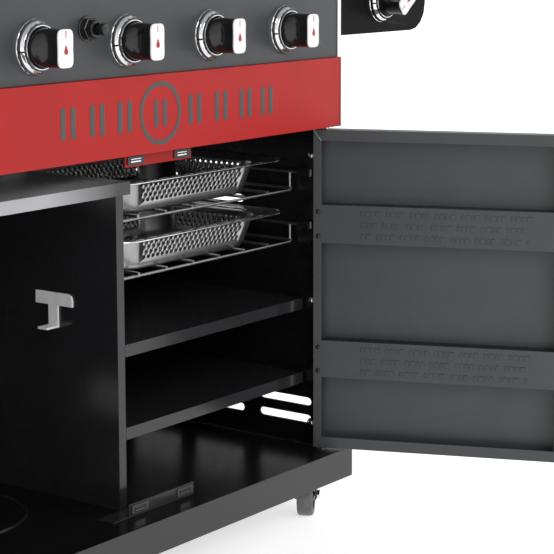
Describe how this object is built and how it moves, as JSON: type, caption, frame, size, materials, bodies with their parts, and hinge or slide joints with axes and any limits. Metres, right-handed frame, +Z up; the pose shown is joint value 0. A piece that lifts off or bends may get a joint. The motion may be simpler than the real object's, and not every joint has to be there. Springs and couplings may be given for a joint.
{
  "type": "gas barbecue grill",
  "caption": "Cabinet gas grill on casters with a hinged lid, burner knobs, side shelves, a side burner, two doors and charcoal trays on racks inside.",
  "frame": {"origin": "on the floor, under the middle of the bounding box of the whole grill with both doors open as stored", "axes": "+X to the right as seen by the cook, +Y from the front (doors) to the rear, +Z up"},
  "size_m": [1.31, 0.787, 1.1678],
  "materials": {
    "grey_paint": "satin powder coat",
    "dark_paint": "satin powder coat",
    "red_paint": "satin powder coat",
    "stainless": "brushed",
    "chrome": "polished",
    "chrome_wire": "plated wire",
    "cast_iron": "enamelled",
    "black_plastic": "gloss",
    "silver_trim": "satin",
    "wheel_grey": "satin"
  },
  "bodies": {
    "frame": {"base_tray": "dark_paint", "left_side_panel": "dark_paint", "right_side_panel": "dark_paint", "rear_panel": "dark_paint", "centre_divider": "dark_paint", "bottle_heat_shield": "dark_paint", "upper_shelf": "dark_paint", "lower_shelf": "dark_paint", "bottle_hook": "stainless", "upper_wire_rack": "chrome_wire", "lower_wire_rack": "chrome_wire", "lower_catch_bracket": "dark_paint", "upper_catch_bracket": "red_paint", "red_fascia": "red_paint", "control_panel": "grey_paint", "left_trim": "silver_trim", "right_trim": "silver_trim", "igniter_housing": "black_plastic", "gas_manifold": "silver_trim", "firebox": "dark_paint", "burner_tube_1": "stainless", "burner_tube_2": "stainless", "burner_tube_3": "stainless", "burner_tube_4": "stainless", "heat_tent_1": "stainless", "heat_tent_2": "stainless", "heat_tent_3": "stainless", "heat_tent_4": "stainless", "left_cooking_grate": "cast_iron", "right_cooking_grate": "cast_iron", "warming_rack": "chrome_wire", "left_side_shelf": "dark_paint", "right_side_shelf": "dark_paint", "side_burner": "cast_iron", "side_burner_grate": "cast_iron"},
    "lid": {"lid": "grey_paint", "lid_handle": "stainless", "lid_thermometer": "chrome"},
    "right_door": {"right_door": "grey_paint", "right_door_handle": "stainless"},
    "left_door": {"left_door": "grey_paint", "left_door_handle": "stainless"},
    "upper_charcoal_tray": {"upper_charcoal_tray": "stainless"},
    "lower_charcoal_tray": {"lower_charcoal_tray": "stainless"},
    "grease_tray": {"grease_tray": "silver_trim"},
    "side_burner_lid": {"side_burner_lid": "dark_paint"},
    "side_burner_knob": {"side_burner_knob": "black_plastic"},
    "igniter_button": {"igniter_button": "black_plastic"},
    "burner_knob_1": {"burner_knob_1": "black_plastic"},
    "burner_knob_2": {"burner_knob_2": "black_plastic"},
    "burner_knob_3": {"burner_knob_3": "black_plastic"},
    "burner_knob_4": {"burner_knob_4": "black_plastic"},
    "caster_fork_front_left": {"caster_fork_front_left": "dark_paint"},
    "caster_wheel_front_left": {"caster_wheel_front_left": "wheel_grey"},
    "caster_fork_front_right": {"caster_fork_front_right": "dark_paint"},
    "caster_wheel_front_right": {"caster_wheel_front_right": "wheel_grey"},
    "caster_fork_rear_left": {"caster_fork_rear_left": "dark_paint"},
    "caster_wheel_rear_left": {"caster_wheel_rear_left": "wheel_grey"},
    "caster_fork_rear_right": {"caster_fork_rear_right": "dark_paint"},
    "caster_wheel_rear_right": {"caster_wheel_rear_right": "wheel_grey"}
  },
  "joints": [
    {"name": "right_door_hinge", "type": "hinge", "parent": "frame", "child": "right_door", "pos_m": [0.357, -0.06349, 0.337], "axis": [0, 0, 1], "range_deg": [-112.4, 4]},
    {"name": "left_door_hinge", "type": "hinge", "parent": "frame", "child": "left_door", "pos_m": [-0.357, -0.06349, 0.337], "axis": [0, 0, -1], "range_deg": [-135, 0]},
    {"name": "lid_hinge", "type": "hinge", "parent": "frame", "child": "lid", "pos_m": [0, 0.37151, 0.818], "axis": [-1, 0, 0], "range_deg": [0, 85]},
    {"name": "side_burner_lid_hinge", "type": "hinge", "parent": "frame", "child": "side_burner_lid", "pos_m": [0.518, 0.31251, 0.7955], "axis": [-1, 0, 0], "range_deg": [0, 90]},
    {"name": "upper_charcoal_tray_slide", "type": "slide", "parent": "frame", "child": "upper_charcoal_tray", "axis": [0, -1, 0], "range_m": [0, 0.2]},
    {"name": "lower_charcoal_tray_slide", "type": "slide", "parent": "frame", "child": "lower_charcoal_tray", "axis": [0, -1, 0], "range_m": [0, 0.2]},
    {"name": "grease_tray_slide", "type": "slide", "parent": "frame", "child": "grease_tray", "axis": [0, 1, 0], "range_m": [0, 0.24]},
    {"name": "burner_knob_1_turn", "type": "hinge", "parent": "frame", "child": "burner_knob_1", "pos_m": [-0.246, -0.07649, 0.72], "axis": [0, -1, 0], "range_deg": [0, 180]},
    {"name": "burner_knob_2_turn", "type": "hinge", "parent": "frame", "child": "burner_knob_2", "pos_m": [-0.082, -0.07649, 0.72], "axis": [0, -1, 0], "range_deg": [0, 180]},
    {"name": "burner_knob_3_turn", "type": "hinge", "parent": "frame", "child": "burner_knob_3", "pos_m": [0.082, -0.07649, 0.72], "axis": [0, -1, 0], "range_deg": [0, 180]},
    {"name": "burner_knob_4_turn", "type": "hinge", "parent": "frame", "child": "burner_knob_4", "pos_m": [0.246, -0.07649, 0.72], "axis": [0, -1, 0], "range_deg": [0, 180]},
    {"name": "side_burner_knob_turn", "type": "hinge", "parent": "frame", "child": "side_burner_knob", "pos_m": [0.531, -0.04649, 0.752], "axis": [0, -1, 0], "range_deg": [-128, 52]},
    {"name": "igniter_press", "type": "slide", "parent": "frame", "child": "igniter_button", "axis": [0, 1, 0], "range_m": [0, 0.006], "stiffness_N_per_m": 300},
    {"name": "caster_swivel_front_left", "type": "hinge", "parent": "frame", "child": "caster_fork_front_left", "pos_m": [-0.344, -0.03799, 0.08], "axis": [0, 0, 1], "continuous": true},
    {"name": "caster_roll_front_left", "type": "hinge", "parent": "caster_fork_front_left", "child": "caster_wheel_front_left", "pos_m": [-0.35903, -0.04346, 0.032], "axis": [0.342, -0.9397, 0], "continuous": true},
    {"name": "caster_swivel_front_right", "type": "hinge", "parent": "frame", "child": "caster_fork_front_right", "pos_m": [0.344, -0.03799, 0.08], "axis": [0, 0, 1], "continuous": true},
    {"name": "caster_roll_front_right", "type": "hinge", "parent": "caster_fork_front_right", "child": "caster_wheel_front_right", "pos_m": [0.33028, -0.04623, 0.032], "axis": [0.515, -0.8572, 0], "continuous": true},
    {"name": "caster_swivel_rear_left", "type": "hinge", "parent": "frame", "child": "caster_fork_rear_left", "pos_m": [-0.344, 0.34351, 0.08], "axis": [0, 0, 1], "continuous": true},
    {"name": "caster_roll_rear_left", "type": "hinge", "parent": "caster_fork_rear_left", "child": "caster_wheel_rear_left", "pos_m": [-0.35903, 0.34898, 0.032], "axis": [-0.342, -0.9397, 0], "continuous": true},
    {"name": "caster_swivel_rear_right", "type": "hinge", "parent": "frame", "child": "caster_fork_rear_right", "pos_m": [0.344, 0.34351, 0.08], "axis": [0, 0, 1], "continuous": true},
    {"name": "caster_roll_rear_right", "type": "hinge", "parent": "caster_fork_rear_right", "child": "caster_wheel_rear_right", "pos_m": [0.35903, 0.34898, 0.032], "axis": [-0.342, 0.9397, 0], "continuous": true}
  ]
}
